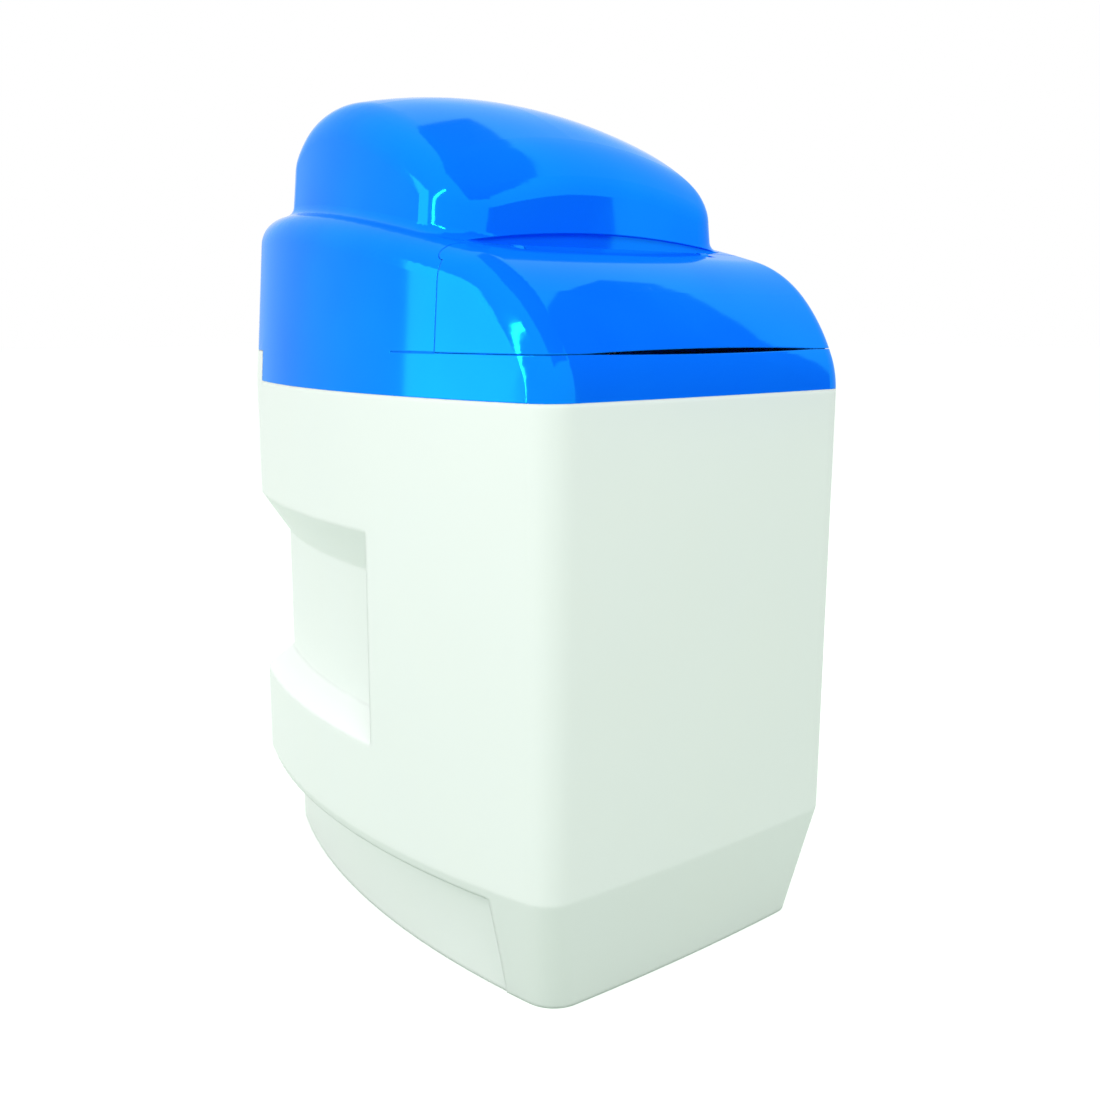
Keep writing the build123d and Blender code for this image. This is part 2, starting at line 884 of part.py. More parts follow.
line_start = (line_at, line_low_at, line_low)
line_bend_start = (line_at, line_low_at, line_high - line_bend_radius)
line_bend_end = (line_at, line_low_at + line_bend_radius, line_high)
line_end = (line_at, line_end_at, line_high)
with BuildPart() as brine_tube:
    with BuildLine() as route:
        Line(line_start, line_bend_start)
        TangentArc(line_bend_start, line_bend_end, tangent=(0, 0, 1))
        Line(line_bend_end, line_end)
    with BuildSketch(Plane(line_start, z_dir=(0, 0, 1))) as tube_section:
        Circle(line_tube_radius)
        Circle(line_bore_radius, mode=Mode.SUBTRACT)
    sweep(tube_section.sketch, path=route.line)
save(brine_tube.part, "brine_tube")

nut_bore = line_tube_radius + nut_gap
with BuildPart() as brine_nuts:
    for start, way in ((line_start, (0, 0, 1)), (line_end, (0, -1, 0))):
        add(hex_bar(start, way, nut_radius, nut_length))
        add(bar(start, way, nut_bore, nut_length), mode=Mode.SUBTRACT)
save(brine_nuts.part, "brine_nuts")

# Pressure vessel
centre_x, centre_y = vessel_at
vessel_base = (centre_x, centre_y, 0)
up = (0, 0, 1)


def vessel_form(inset):
    """The vessel's outside, or with an inset its inside, as a turned form."""
    radius = vessel_radius - inset
    low = vessel_bottom + inset
    high = vessel_shoulder - inset
    neck = neck_radius if inset == 0 else neck_bore_radius
    with BuildPart() as form:
        with BuildSketch(Plane(vessel_base, x_dir=(1, 0, 0), z_dir=(0, -1, 0))):
            with BuildLine():
                Line((0, low), (vessel_flat_radius, low))
                TangentArc((radius, vessel_side_low), (vessel_flat_radius, low), tangent=(0, -upward))
                Line((radius, vessel_side_low), (radius, vessel_side_high))
                TangentArc((radius, vessel_side_high), (neck, high), tangent=(0, upward))
                Polyline((neck, high), (neck, neck_top), (0, neck_top), (0, low))
            make_face()
        revolve(axis=Axis(vessel_base, up))
    return form.part


vessel_inside = vessel_form(vessel_wall)
with BuildPart() as vessel:
    add(vessel_form(0))
    add(vessel_inside, mode=Mode.SUBTRACT)
    seal_low = seal_heights[0]
    add(
        ring((centre_x, centre_y, seal_low), up, seal_radii[1], neck_bore_radius - seal_bite, neck_top - seal_low),
        mode=Mode.SUBTRACT,
    )
save(vessel.part, "vessel")

with BuildPart() as vessel_boot:
    add(
        turned(
            vessel_base, up,
            [
                (0, boot_low), (boot_radius, boot_low), (boot_radius, boot_high),
                (vessel_radius + fit_gap, boot_high), (vessel_radius + fit_gap, vessel_bottom),
                (boot_foot_radius, vessel_bottom), (0, vessel_bottom),
            ],
        )
    )
save(vessel_boot.part, "vessel_boot")

with BuildPart() as resin_bed:
    add(vessel_form(vessel_wall + bed_gap))
    add(block((-far, -far, bed_top), (far, far, far)), mode=Mode.SUBTRACT)
    strainer_low, strainer_high = lower_strainer_heights
    add(
        bar((centre_x, centre_y, 0), up, lower_strainer_radius + bed_gap, strainer_high + bed_gap),
        mode=Mode.SUBTRACT,
    )
    add(bar(vessel_base, up, riser_radius + bed_gap, far), mode=Mode.SUBTRACT)
save(resin_bed.part, "resin_bed")

with BuildPart() as riser_tube:
    add(ring((centre_x, centre_y, riser_low), up, riser_radius, riser_radius - riser_wall, riser_high - riser_low))
save(riser_tube.part, "riser_tube")


def strainer(radius, heights, bore, closed_low):
    """A slotted strainer round the riser."""
    low, high = heights
    with BuildPart() as piece:
        add(bar((centre_x, centre_y, low), up, radius, high - low))
        start = riser_low if closed_low else low
        add(bar((centre_x, centre_y, start), up, bore, high - start), mode=Mode.SUBTRACT)
        for index in range(strainer_slot_count):
            slot_z = low + strainer_floor + index * strainer_slot_pitch
            if slot_z + strainer_slot_height < high - strainer_floor:
                add(
                    ring((centre_x, centre_y, slot_z), up, radius + overrun, radius - strainer_skin,
                         strainer_slot_height),
                    mode=Mode.SUBTRACT,
                )
    return piece.part


save(strainer(lower_strainer_radius, lower_strainer_heights, riser_radius + nut_gap, True), "lower_strainer")
save(strainer(upper_strainer_radius, upper_strainer_heights, riser_radius + nut_gap, False), "upper_strainer")

seal_low, seal_high = seal_heights
save(ring((centre_x, centre_y, seal_low), up, seal_radii[1], seal_radii[0], seal_high - seal_low), "neck_seal")

# Control valve
barrel_start = (centre_x, barrel_front_at, barrel_height)
back = (0, 1, 0)
port_x = port_spacing / 2
with BuildPart() as valve_body:
    add(bar((centre_x, centre_y, stub_low), up, stub_radius, neck_top - stub_low))
    add(bar((centre_x, centre_y, neck_top), up, flange_radius, flange_high - neck_top))
    add(
        block(
            (-body_half_width, body_front_at, flange_high - overrun / 2),
            (body_half_width, body_rear_at, body_high),
        )
    )
    add(bar(barrel_start, back, barrel_radius, barrel_rear_at - barrel_front_at))
    add(
        block(
            (-manifold_half_width, manifold_ends[0], manifold_heights[0]),
            (manifold_half_width, manifold_ends[1], manifold_heights[1]),
        )
    )
    for side in (-port_x, port_x):
        add(bar((side, manifold_ends[0], port_height), back, port_radius, port_end_at - manifold_ends[0]))
    add(bar((-side_boss_reach, drain_port_at, side_port_height), (1, 0, 0), side_boss_radius, side_boss_reach))
    add(bar((0, brine_port_at, side_port_height), (1, 0, 0), side_boss_radius, side_boss_reach))
    add(bar((0, injector_at, side_port_height), (1, 0, 0), side_boss_radius, injector_boss_reach))
    for side in (-port_x, port_x):
        port_start = (side, manifold_ends[0] + overrun, port_height)
        add(bar(port_start, back, port_bore_radius, port_end_at - manifold_ends[0]), mode=Mode.SUBTRACT)
    add(
        bar(barrel_start, back, barrel_bore_radius, barrel_bore_end_at - barrel_front_at),
        mode=Mode.SUBTRACT,
    )
    add(
        bar((centre_x, centre_y, stub_low), up, stub_bore_radius, barrel_height - stub_low),
        mode=Mode.SUBTRACT,
    )
    add(
        bar((-side_boss_reach, drain_port_at, side_port_height), (1, 0, 0), side_bore_radius, side_boss_reach / 2),
        mode=Mode.SUBTRACT,
    )
    add(
        bar((side_boss_reach / 2, brine_port_at, side_port_height), (1, 0, 0), side_bore_radius, side_boss_reach / 2),
        mode=Mode.SUBTRACT,
    )
save(valve_body.part, "valve_body")

stack_length = stack_ends[1] - stack_ends[0]
with BuildPart() as seal_stack:
    add(ring((centre_x, stack_ends[0], barrel_height), back, stack_radius, stack_bore_radius, stack_length))
    for window_at in stack_windows_at:
        half = stack_window_half_width / 2
        for width in ((far, stack_window_half_width), (stack_window_half_width, far)):
            add(
                block(
                    (-width[0], window_at - half, barrel_height - width[1]),
                    (width[0], window_at + half, barrel_height + width[1]),
                ),
                mode=Mode.SUBTRACT,
            )
save(seal_stack.part, "seal_stack")

with BuildPart() as piston:
    add(bar((centre_x, piston_ends[0], barrel_height), back, piston_radius, piston_ends[1] - piston_ends[0]))
    for waist_low, waist_high in piston_waists:
        add(
            ring((centre_x, waist_low, barrel_height), back, piston_radius + overrun, piston_waist_radius,
                 waist_high - waist_low),
            mode=Mode.SUBTRACT,
        )
    add(bar((centre_x, rod_front_at, barrel_height), back, rod_radius, piston_ends[1] - rod_front_at))
save(piston.part, "piston")

with BuildPart() as bore_cap:
    add(
        ring((centre_x, bore_cap_rim_end, barrel_height), back, barrel_bore_radius - fit_gap, bore_cap_hole_radius,
             bore_cap_plug_end - bore_cap_rim_end)
    )
save(bore_cap.part, "bore_cap")

with BuildPart() as injector_cap:
    add(hex_bar((injector_boss_reach, injector_at, side_port_height), (1, 0, 0), injector_cap_radius,
                injector_cap_length))
save(injector_cap.part, "injector_cap")

with BuildPart() as drain_elbow:
    add(bar((barb_turn_at, drain_port_at, side_port_height), (1, 0, 0), drain_elbow_radius,
            -barb_turn_at - side_boss_reach))
    with BuildPart(mode=Mode.PRIVATE) as knuckle:
        with Locations((barb_turn_at, drain_port_at, side_port_height)):
            Sphere(drain_elbow_radius + knuckle_swell)
    add(knuckle.part)
    add(bar((barb_turn_at, drain_port_at, side_port_height), back, drain_elbow_radius,
            barb_end_at - barb_length - drain_port_at))
    add(bar((barb_turn_at, barb_end_at - barb_length, side_port_height), back, barb_radius, barb_length))
    add(bar((barb_turn_at, drain_port_at, side_port_height), back, barb_bore_radius, far), mode=Mode.SUBTRACT)
    add(bar((barb_turn_at, drain_port_at, side_port_height), (1, 0, 0), barb_bore_radius, far),
        mode=Mode.SUBTRACT)
save(drain_elbow.part, "drain_elbow")

with BuildPart() as brine_port_elbow:
    add(bar((side_boss_reach, brine_port_at, side_port_height), (1, 0, 0), fitting_radius,
            line_at - side_boss_reach))
    with BuildPart(mode=Mode.PRIVATE) as knuckle:
        with Locations((line_at, brine_port_at, side_port_height)):
            Sphere(fitting_radius + knuckle_swell)
    add(knuckle.part)
    add(bar((line_at, line_end_at, side_port_height), back, fitting_radius, brine_port_at - line_end_at))
    add(bar((line_at, line_end_at, side_port_height), back, fitting_bore_radius, brine_port_at - line_end_at),
        mode=Mode.SUBTRACT)
    add(bar((side_boss_reach, brine_port_at, side_port_height), (1, 0, 0), fitting_bore_radius,
            line_at - side_boss_reach), mode=Mode.SUBTRACT)
save(brine_port_elbow.part, "brine_port_elbow")

# Drive gears: straight teeth, in mesh at rest
gear_axis = (0, barrel_height)
main_pitch = gear_module * main_teeth / 2
small_pitch = gear_module * small_teeth / 2
wheel_pitch = gear_module * wheel_teeth / 2
train_at = (0, barrel_height + main_pitch + small_pitch)
motor_at = (wheel_pitch + small_pitch, train_at[1])


def gear(centre, teeth, ends, phase):
    """A spur gear about a line along Y; a tooth points along the phase angle."""
    pitch = gear_module * teeth / 2
    tip = pitch + gear_module
    root = pitch - gear_module * root_depth_share
    step = 2 * pi / teeth
    tip_half = step * tooth_tip_share / 4
    pitch_half = step / 4 - tooth_backlash / pitch / 2
    root_half = step * tooth_root_share / 2
    points = []
    for index in range(teeth):
        turn = phase + index * step
        for radius, offset in (
            (root, -root_half), (pitch, -pitch_half), (tip, -tip_half),
            (tip, tip_half), (pitch, pitch_half), (root, root_half),
        ):
            angle = turn + offset
            points.append((centre[0] + radius * cos(angle), centre[1] + radius * sin(angle)))
    with BuildPart() as wheel:
        with BuildSketch(Plane.XZ.offset(-ends[1])):
            with BuildLine():
                Polyline(*points, close=True)
            make_face()
        extrude(amount=ends[1] - ends[0])
    return wheel.part


def along_y(centre, ends, radius):
    """A round bar along Y between two ends."""
    return bar((centre[0], ends[0], centre[1]), back, radius, ends[1] - ends[0])


small_step = 2 * pi / small_teeth
with BuildPart() as main_drive_gear:
    add(gear(gear_axis, main_teeth, main_ends, pi / 2))
    rim_inner = main_pitch * main_rim_share
    for ends in ((main_ends[0], main_web_ends[0]), (main_web_ends[1], main_ends[1])):
        start = (gear_axis[0], ends[0], gear_axis[1])
        add(ring(start, back, rim_inner, main_hub_radius, ends[1] - ends[0]), mode=Mode.SUBTRACT)
    add(along_y(gear_axis, (main_ends[0], main_hub_end), main_hub_radius))
    add(along_y(gear_axis, (-far, far), main_bore_radius), mode=Mode.SUBTRACT)
save(main_drive_gear.part, "main_drive_gear")

with BuildPart() as reduction_gear:
    add(gear(train_at, small_teeth, small_ends, -pi / 2 + small_step / 2))
    add(gear(train_at, wheel_teeth, wheel_ends, 0))
    add(along_y(train_at, (-far, far), axle_radius + running_gap), mode=Mode.SUBTRACT)
save(reduction_gear.part, "reduction_gear")

with BuildPart() as motor_pinion:
    add(gear(motor_at, small_teeth, wheel_ends, pi + small_step / 2))
    add(along_y(motor_at, (wheel_ends[0], motor_ends[0]), motor_shaft_radius))
save(motor_pinion.part, "motor_pinion")

low, high = housing_heights
with BuildPart() as drive_housing:
    add(block((-housing_half_width, housing_front_at, low), (housing_half_width, housing_rear_at, high)))
    fillet(drive_housing.edges().filter_by(Axis.Y), cover_edge_radius)
    with BuildPart(mode=Mode.PRIVATE) as room:
        add(
            block(
                (-housing_half_width + housing_wall, housing_front_at, low + housing_wall),
                (housing_half_width - housing_wall, housing_rear_at - housing_wall, high - housing_wall),
            )
        )
        fillet(room.edges().filter_by(Axis.Y), cover_edge_radius - housing_wall)
    add(room.part, mode=Mode.SUBTRACT)
    add(along_y(gear_axis, (bearing_front_at, housing_rear_at), bearing_radius))
    add(along_y(gear_axis, (-far, main_hub_end), main_hub_radius + running_gap), mode=Mode.SUBTRACT)
    add(along_y(gear_axis, (-far, far), rod_radius + fit_gap), mode=Mode.SUBTRACT)
    add(along_y(train_at, (small_ends[1], housing_rear_at), 2 * axle_radius))
    add(along_y(train_at, (axle_front_at, housing_rear_at), axle_radius))
    add(along_y(motor_at, (-far, far), motor_shaft_radius + running_gap), mode=Mode.SUBTRACT)
    for side in (-1, 1):
        for post_z in (board_heights[0] + post_offset, board_heights[1] - post_offset):
            post_at = (side * (board_half_width - post_offset), post_z)
            add(along_y(post_at, (board_ends[1], housing_rear_at), post_radius))
save(drive_housing.part, "drive_housing")

with BuildPart() as drive_motor:
    add(along_y(motor_at, motor_ends, motor_radius))
    for side in (-motor_ear_span, motor_ear_span):
        ear = (motor_at[0] + side, motor_at[1])
        add(along_y(ear, (motor_ends[0], motor_ends[0] + housing_wall), motor_ear_radius))
        add(
            block(
                (min(motor_at[0], ear[0]), motor_ends[0], motor_at[1] - motor_ear_radius),
                (max(motor_at[0], ear[0]), motor_ends[0] + housing_wall, motor_at[1] + motor_ear_radius),
            )
        )
    add(along_y(motor_at, (motor_ends[0], motor_ends[0] + housing_wall), motor_shaft_radius + fit_gap),
        mode=Mode.SUBTRACT)
save(drive_motor.part, "drive_motor")

# Board, display, cover and buttons
board_front, board_rear = board_ends
with BuildPart() as circuit_board:
    add(
        block(
            (-board_half_width, board_front, board_heights[0]),
            (board_half_width, board_rear, board_heights[1]),
        )
    )
save(circuit_board.part, "circuit_board")

with BuildPart() as display_module:
    add(
        block(
            (-module_half_width, board_front - module_thickness, module_heights[0]),
            (module_half_width, board_front, module_heights[1]),
        )
    )
save(display_module.part, "display_module")

low, high = cover_heights
inner_front = cover_front_at + cover_wall
button_spots = [(button_spacing * (index - (button_count - 1) / 2), button_height) for index in range(button_count)]
with BuildPart() as control_cover:
    add(block((-cover_half_width, cover_front_at, low), (cover_half_width, cover_rear_at, high)))
    fillet(control_cover.edges().filter_by(Axis.Y), cover_edge_radius + cover_wall)
    fillet(control_cover.faces().sort_by(Axis.Y)[0].edges(), cover_wall - share_half)
    with BuildPart(mode=Mode.PRIVATE) as room:
        add(
            block(
                (-cover_half_width + cover_wall, inner_front, low + cover_wall),
                (cover_half_width - cover_wall, cover_rear_at, high - cover_wall),
            )
        )
        fillet(room.edges().filter_by(Axis.Y), cover_edge_radius)
    add(room.part, mode=Mode.SUBTRACT)
    add(
        block(
            (-window_half_width + window_lip, cover_front_at, window_heights[0] + window_lip),
            (window_half_width - window_lip, inner_front, window_heights[1] - window_lip),
        ),
        mode=Mode.SUBTRACT,
    )
    for spot in button_spots:
        add(along_y(spot, (cover_front_at, inner_front), button_radius + button_gap), mode=Mode.SUBTRACT)
    add(
        bar((cover_half_width - cover_wall, housing_front_at + inlet_at, inlet_height), (1, 0, 0),
            inlet_radius + fit_gap, cover_wall),
        mode=Mode.SUBTRACT,
    )
save(control_cover.part, "control_cover")

with BuildPart() as display_window:
    add(
        block(
            (-window_half_width, inner_front, window_heights[0]),
            (window_half_width, inner_front + window_thickness, window_heights[1]),
        )
    )
save(display_window.part, "display_window")

for index, spot in enumerate(button_spots):
    with BuildPart() as button:
        add(along_y(spot, (cover_front_at - button_proud, inner_front), button_radius))
        fillet(button.faces().sort_by(Axis.Y)[0].edges(), button_edge)
        add(along_y(spot, (inner_front, inner_front + button_flange), button_flange_radius))
        add(along_y(spot, (inner_front, button_stem_end), button_stem_radius))
    save(button.part, f"button_{index + 1}")

inlet_start = (housing_half_width, housing_front_at + inlet_at, inlet_height)
with BuildPart() as power_inlet:
    add(bar(inlet_start, (1, 0, 0), inlet_radius, inlet_reach))
    add(bar((inlet_start[0] + housing_wall, *inlet_start[1:]), (1, 0, 0), inlet_bore_radius, inlet_reach),
        mode=Mode.SUBTRACT)
    add(bar(inlet_start, (1, 0, 0), inlet_pin_radius, inlet_reach - housing_wall))
save(power_inlet.part, "power_inlet")

# Meter in the outlet port
outlet = (-port_x, port_height)
cage_low, cage_high = cage_ends
with BuildPart() as meter_cage:
    cage_start = (outlet[0], cage_low, outlet[1])
    add(ring(cage_start, back, cage_radius, cage_bore_radius, cage_high - cage_low))
    for bar_low in (cage_low, cage_high - cage_bar_depth):
        bar_ends = (bar_low, bar_low + cage_bar_depth)
        for wide, tall in ((cage_bore_radius, cage_bar_half_width), (cage_bar_half_width, cage_bore_radius)):
            add(
                block(
                    (outlet[0] - wide, bar_ends[0], outlet[1] - tall),
                    (outlet[0] + wide, bar_ends[1], outlet[1] + tall),
                )
            )
        add(along_y(outlet, bar_ends, cage_hub_radius))
    add(along_y(outlet, (-far, far), turbine_pin_radius + running_gap), mode=Mode.SUBTRACT)
save(meter_cage.part, "meter_cage")

with BuildPart() as meter_turbine:
    add(along_y(outlet, turbine_ends, turbine_hub_radius))
    add(along_y(outlet, cage_ends, turbine_pin_radius))
    for index in range(turbine_blades):
        with BuildSketch(Plane.XZ.offset(-turbine_ends[1])):
            with Locations(outlet):
                with Locations(Rotation(0, 0, blade_turn * index)):
                    with Locations((turbine_radius / 2, 0)):
                        Rectangle(turbine_radius, turbine_blade)
        extrude(amount=turbine_ends[1] - turbine_ends[0])
save(meter_turbine.part, "meter_turbine")

with BuildPart() as meter_sensor:
    add(bar((outlet[0], sensor_at, sensor_seat), up, sensor_radius, sensor_high - sensor_seat))
    add(along_y(outlet, (-far, far), port_radius), mode=Mode.SUBTRACT)
save(meter_sensor.part, "meter_sensor")

# Bypass valve
bypass_low = port_height - bypass_half_height
bypass_high = port_height + bypass_half_height
with BuildPart() as bypass_body:
    add(
        block(
            (-bypass_half_width, bypass_ends[0], bypass_low),
            (bypass_half_width, bypass_ends[1], bypass_high),
        )
    )
    fillet(bypass_body.edges().filter_by(Axis.Y), bypass_edge)
    for side in (-port_x, port_x):
        add(bar((side, bypass_rotor_at, rotor_low), up, port_radius, rotor_high - rotor_low))
        add(bar((side, bypass_ends[1], port_height), back, port_radius, tail_collar_end - bypass_ends[1]))
    for side in (-port_x, port_x):
        add(bar((side, bypass_rotor_at, rotor_low + strainer_floor), up, rotor_bore_radius, far),
            mode=Mode.SUBTRACT)
        add(along_y((side, port_height), (bypass_ends[0], tail_collar_end), tail_bore_radius),
            mode=Mode.SUBTRACT)
    add(
        bar((-port_x, bypass_rotor_at, port_height), (1, 0, 0), rotor_port_radius, port_spacing),
        mode=Mode.SUBTRACT,
    )
save(bypass_body.part, "bypass_body")

for side, side_name in ((-port_x, "outlet"), (port_x, "inlet")):
    with BuildPart() as rotor:
        start = rotor_low + strainer_floor
        add(bar((side, bypass_rotor_at, start), up, rotor_radius, rotor_high - start))
        add(along_y((side, port_height), (bypass_ends[0], bypass_ends[1]), rotor_port_radius),
            mode=Mode.SUBTRACT)
    save(rotor.part, f"bypass_rotor_{side_name}")
    with BuildPart() as knob:
        add(bar((side, bypass_rotor_at, knob_low), up, knob_radius, knob_high - knob_low))
        lever_front = bypass_rotor_at - lever_length
        add(
            block(
                (side - lever_width / 2, lever_front, knob_low),
                (side + lever_width / 2, bypass_rotor_at, knob_high),
            )
        )
    save(knob.part, f"bypass_knob_{side_name}")

with BuildPart() as bypass_nuts:
    for side in (-port_x, port_x):
        start = (side, collar_nut_ends[0], port_height)
        add(hex_bar(start, back, collar_nut_radius, collar_nut_ends[1] - collar_nut_ends[0]))
        add(bar(start, back, port_radius + nut_gap, far), mode=Mode.SUBTRACT)
save(bypass_nuts.part, "bypass_nuts")

with BuildPart() as port_tails:
    for side in (-port_x, port_x):
        start = (side, tail_collar_end, port_height)
        add(bar(start, back, tail_radius, tail_end - tail_collar_end))
        add(bar(start, back, tail_bore_radius, tail_end - tail_collar_end), mode=Mode.SUBTRACT)
save(port_tails.part, "port_tails")
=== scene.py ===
import json
from math import radians

import bpy
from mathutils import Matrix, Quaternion, Vector

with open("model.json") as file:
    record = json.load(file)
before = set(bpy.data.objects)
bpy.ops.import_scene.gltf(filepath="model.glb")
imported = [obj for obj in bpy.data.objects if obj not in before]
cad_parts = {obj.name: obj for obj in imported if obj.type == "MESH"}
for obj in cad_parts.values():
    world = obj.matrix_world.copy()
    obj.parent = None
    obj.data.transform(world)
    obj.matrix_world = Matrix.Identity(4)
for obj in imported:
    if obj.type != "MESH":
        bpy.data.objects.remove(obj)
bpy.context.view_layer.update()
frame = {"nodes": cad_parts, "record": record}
nodes = frame["nodes"]
scene = bpy.context.scene

# Camera, as fitted to the photograph
camera = {
    "place": (-0.6767, -0.8291, 0.4774),
    "yaw": 40.259,
    "pitch": 11.543,
    "lens": 41.99,
    "sensor": 36.0,
    "shift": (0.0225, 0.0276),
    "nearest": 0.01,
}


def addCamera(spec):
    data = bpy.data.cameras.new("camera")
    data.lens = spec["lens"]
    data.sensor_width = spec["sensor"]
    data.shift_x, data.shift_y = spec["shift"]
    data.clip_start = spec["nearest"]
    eye = bpy.data.objects.new("camera", data)
    eye.location = spec["place"]
    eye.rotation_euler = (radians(90 - spec["pitch"]), 0, radians(-spec["yaw"]))
    scene.collection.objects.link(eye)
    scene.camera = eye


addCamera(camera)
scene.view_settings.view_transform = "Standard"
print("camera ready")


# Small helpers for node trees
def addNode(tree, kind, **values):
    node = tree.nodes.new(kind)
    for key, value in values.items():
        if key in node.inputs:
            node.inputs[key].default_value = value
        else:
            setattr(node, key, value)
    return node


def calc(tree, operation, *values):
    node = addNode(tree, "ShaderNodeMath", operation=operation)
    for socket, value in zip(node.inputs, values):
        if isinstance(value, (int, float)):
            socket.default_value = value
        else:
            tree.links.new(value, socket)
    return node.outputs[0]


def remap(tree, value, low, high):
    node = addNode(tree, "ShaderNodeMapRange")
    node.inputs["To Min"].default_value = low
    node.inputs["To Max"].default_value = high
    tree.links.new(value, node.inputs["Value"])
    return node.outputs["Result"]


def noise(tree, vector, scale, detail=3.0):
    node = addNode(tree, "ShaderNodeTexNoise", Scale=scale, Detail=detail)
    tree.links.new(vector, node.inputs["Vector"])
    return node.outputs["Fac"]


def stretched(tree, vector, scale):
    node = addNode(tree, "ShaderNodeMapping")
    node.inputs["Scale"].default_value = scale
    tree.links.new(vector, node.inputs["Vector"])
    return node.outputs["Vector"]


def blendColor(tree, amount, first, second, kind="MIX"):
    node = addNode(tree, "ShaderNodeMix", data_type="RGBA", blend_type=kind)
    sockets = (node.inputs[0], node.inputs[6], node.inputs[7])
    for socket, value in zip(sockets, (amount, first, second)):
        if isinstance(value, tuple):
            socket.default_value = (*value, 1)
        elif isinstance(value, (int, float)):
            socket.default_value = value
        else:
            tree.links.new(value, socket)
    return node.outputs[2]


# Relief patterns: each gives a height between 0 and 1
def grainRelief(tree, vector, look):
    return noise(tree, vector, look["grain"])


def woundRelief(tree, vector, look):
    # two crossing helices round the vessel's upright axis
    split = addNode(tree, "ShaderNodeSeparateXYZ")
    tree.links.new(vector, split.inputs[0])
    x = calc(tree, "SUBTRACT", split.outputs[0], look["axis"][0])
    y = calc(tree, "SUBTRACT", split.outputs[1], look["axis"][1])
    turn = calc(tree, "MULTIPLY", calc(tree, "ARCTAN2", y, x), look["starts"])
    climb = calc(tree, "MULTIPLY", split.outputs[2], look["climb"])
    one = calc(tree, "SINE", calc(tree, "ADD", turn, climb))
    two = calc(tree, "SINE", calc(tree, "SUBTRACT", turn, climb))
    both = calc(tree, "MAXIMUM", one, two)
    fuzz = noise(tree, vector, look["fuzz"])
    return remap(tree, calc(tree, "ADD", both, fuzz), 0.0, 1.0)


def beadRelief(tree, vector, look):
    node = addNode(tree, "ShaderNodeTexVoronoi", Scale=look["grain"])
    tree.links.new(vector, node.inputs["Vector"])
    return calc(tree, "SUBTRACT", 1.0, node.outputs["Distance"])


def brushedRelief(tree, vector, look):
    return noise(tree, stretched(tree, vector, look["brush"]), look["grain"])


def traceRelief(tree, vector, look):
    node = addNode(tree, "ShaderNodeTexBrick", Scale=look["grain"])
    turned = addNode(tree, "ShaderNodeMapping")
    turned.inputs["Rotation"].default_value = (radians(90), 0, 0)
    tree.links.new(vector, turned.inputs["Vector"])
    tree.links.new(turned.outputs["Vector"], node.inputs["Vector"])
    return node.outputs["Fac"]


reliefs = {
    "grain": grainRelief,
    "wound": woundRelief,
    "bead": beadRelief,
    "brushed": brushedRelief,
    "trace": traceRelief,
}

# What every finish starts from. Lengths are in metres, scales in features per metre.
plainLook = {
    "relief": "grain",
    "grain": 400.0,  # scale of the relief
    "bump": 0.15,  # strength of the relief
    "depth": 0.0002,
    "roughSpread": 0.15,  # share by which the roughness follows the relief
    "cloud": 8.0,  # scale of the slow change of tone
    "cloudDetail": 4.0,
    "vary": 0.05,  # share by which the tone changes
    "patchDetail": 2.0,
    "softSamples": 6,
}
plainSockets = {
    "metal": "Metallic",
    "specular": "Specular IOR Level",
    "clear": "Transmission Weight",
}


def makeMaterial(name, ownLook):
    look = {**plainLook, **ownLook}
    material = bpy.data.materials.new(name)
    material.use_nodes = True
    tree = material.node_tree
    link = tree.links.new
    shader = tree.nodes["Principled BSDF"]
    vector = addNode(tree, "ShaderNodeTexCoord").outputs["Object"]
    height = reliefs[look["relief"]](tree, vector, look)
    cloud = noise(tree, vector, look["cloud"], look["cloudDetail"])
    tone = remap(tree, cloud, 1 - look["vary"], 1 + look["vary"])
    color = blendColor(tree, 1.0, look["color"], tone, "MULTIPLY")
    if "patch" in look:  # patches of a second tone: mottling, and on the hood partly painted reflection
        spots = noise(tree, vector, look["patchScale"], look["patchDetail"])
        amount = remap(tree, spots, 0.0, look["patchAmount"])
        color = blendColor(tree, amount, color, look["patch"])
    if "groove" in look:  # the low parts of the relief take another tone
        color = blendColor(tree, height, look["groove"], color)
    link(color, shader.inputs["Base Color"])
    rough, spread = look["rough"], look["roughSpread"]
    dull = remap(tree, height, rough * (1 - spread), rough * (1 + spread))
    link(dull, shader.inputs["Roughness"])
    bump = addNode(tree, "ShaderNodeBump", Strength=look["bump"], Distance=look["depth"])
    link(height, bump.inputs["Height"])
    if "soft" in look:  # moulded edges catch the light as small rounds
        rounder = addNode(tree, "ShaderNodeBevel", samples=look["softSamples"], Radius=look["soft"])
        link(rounder.outputs[0], bump.inputs["Normal"])
    link(bump.outputs["Normal"], shader.inputs["Normal"])
    for key, socket in plainSockets.items():
        if key in look:
            shader.inputs[socket].default_value = look[key]
    if "tint" in look:  # the tone of the gloss towards the rim
        shader.inputs["Specular Tint"].default_value = (*look["tint"], 1)
    return material


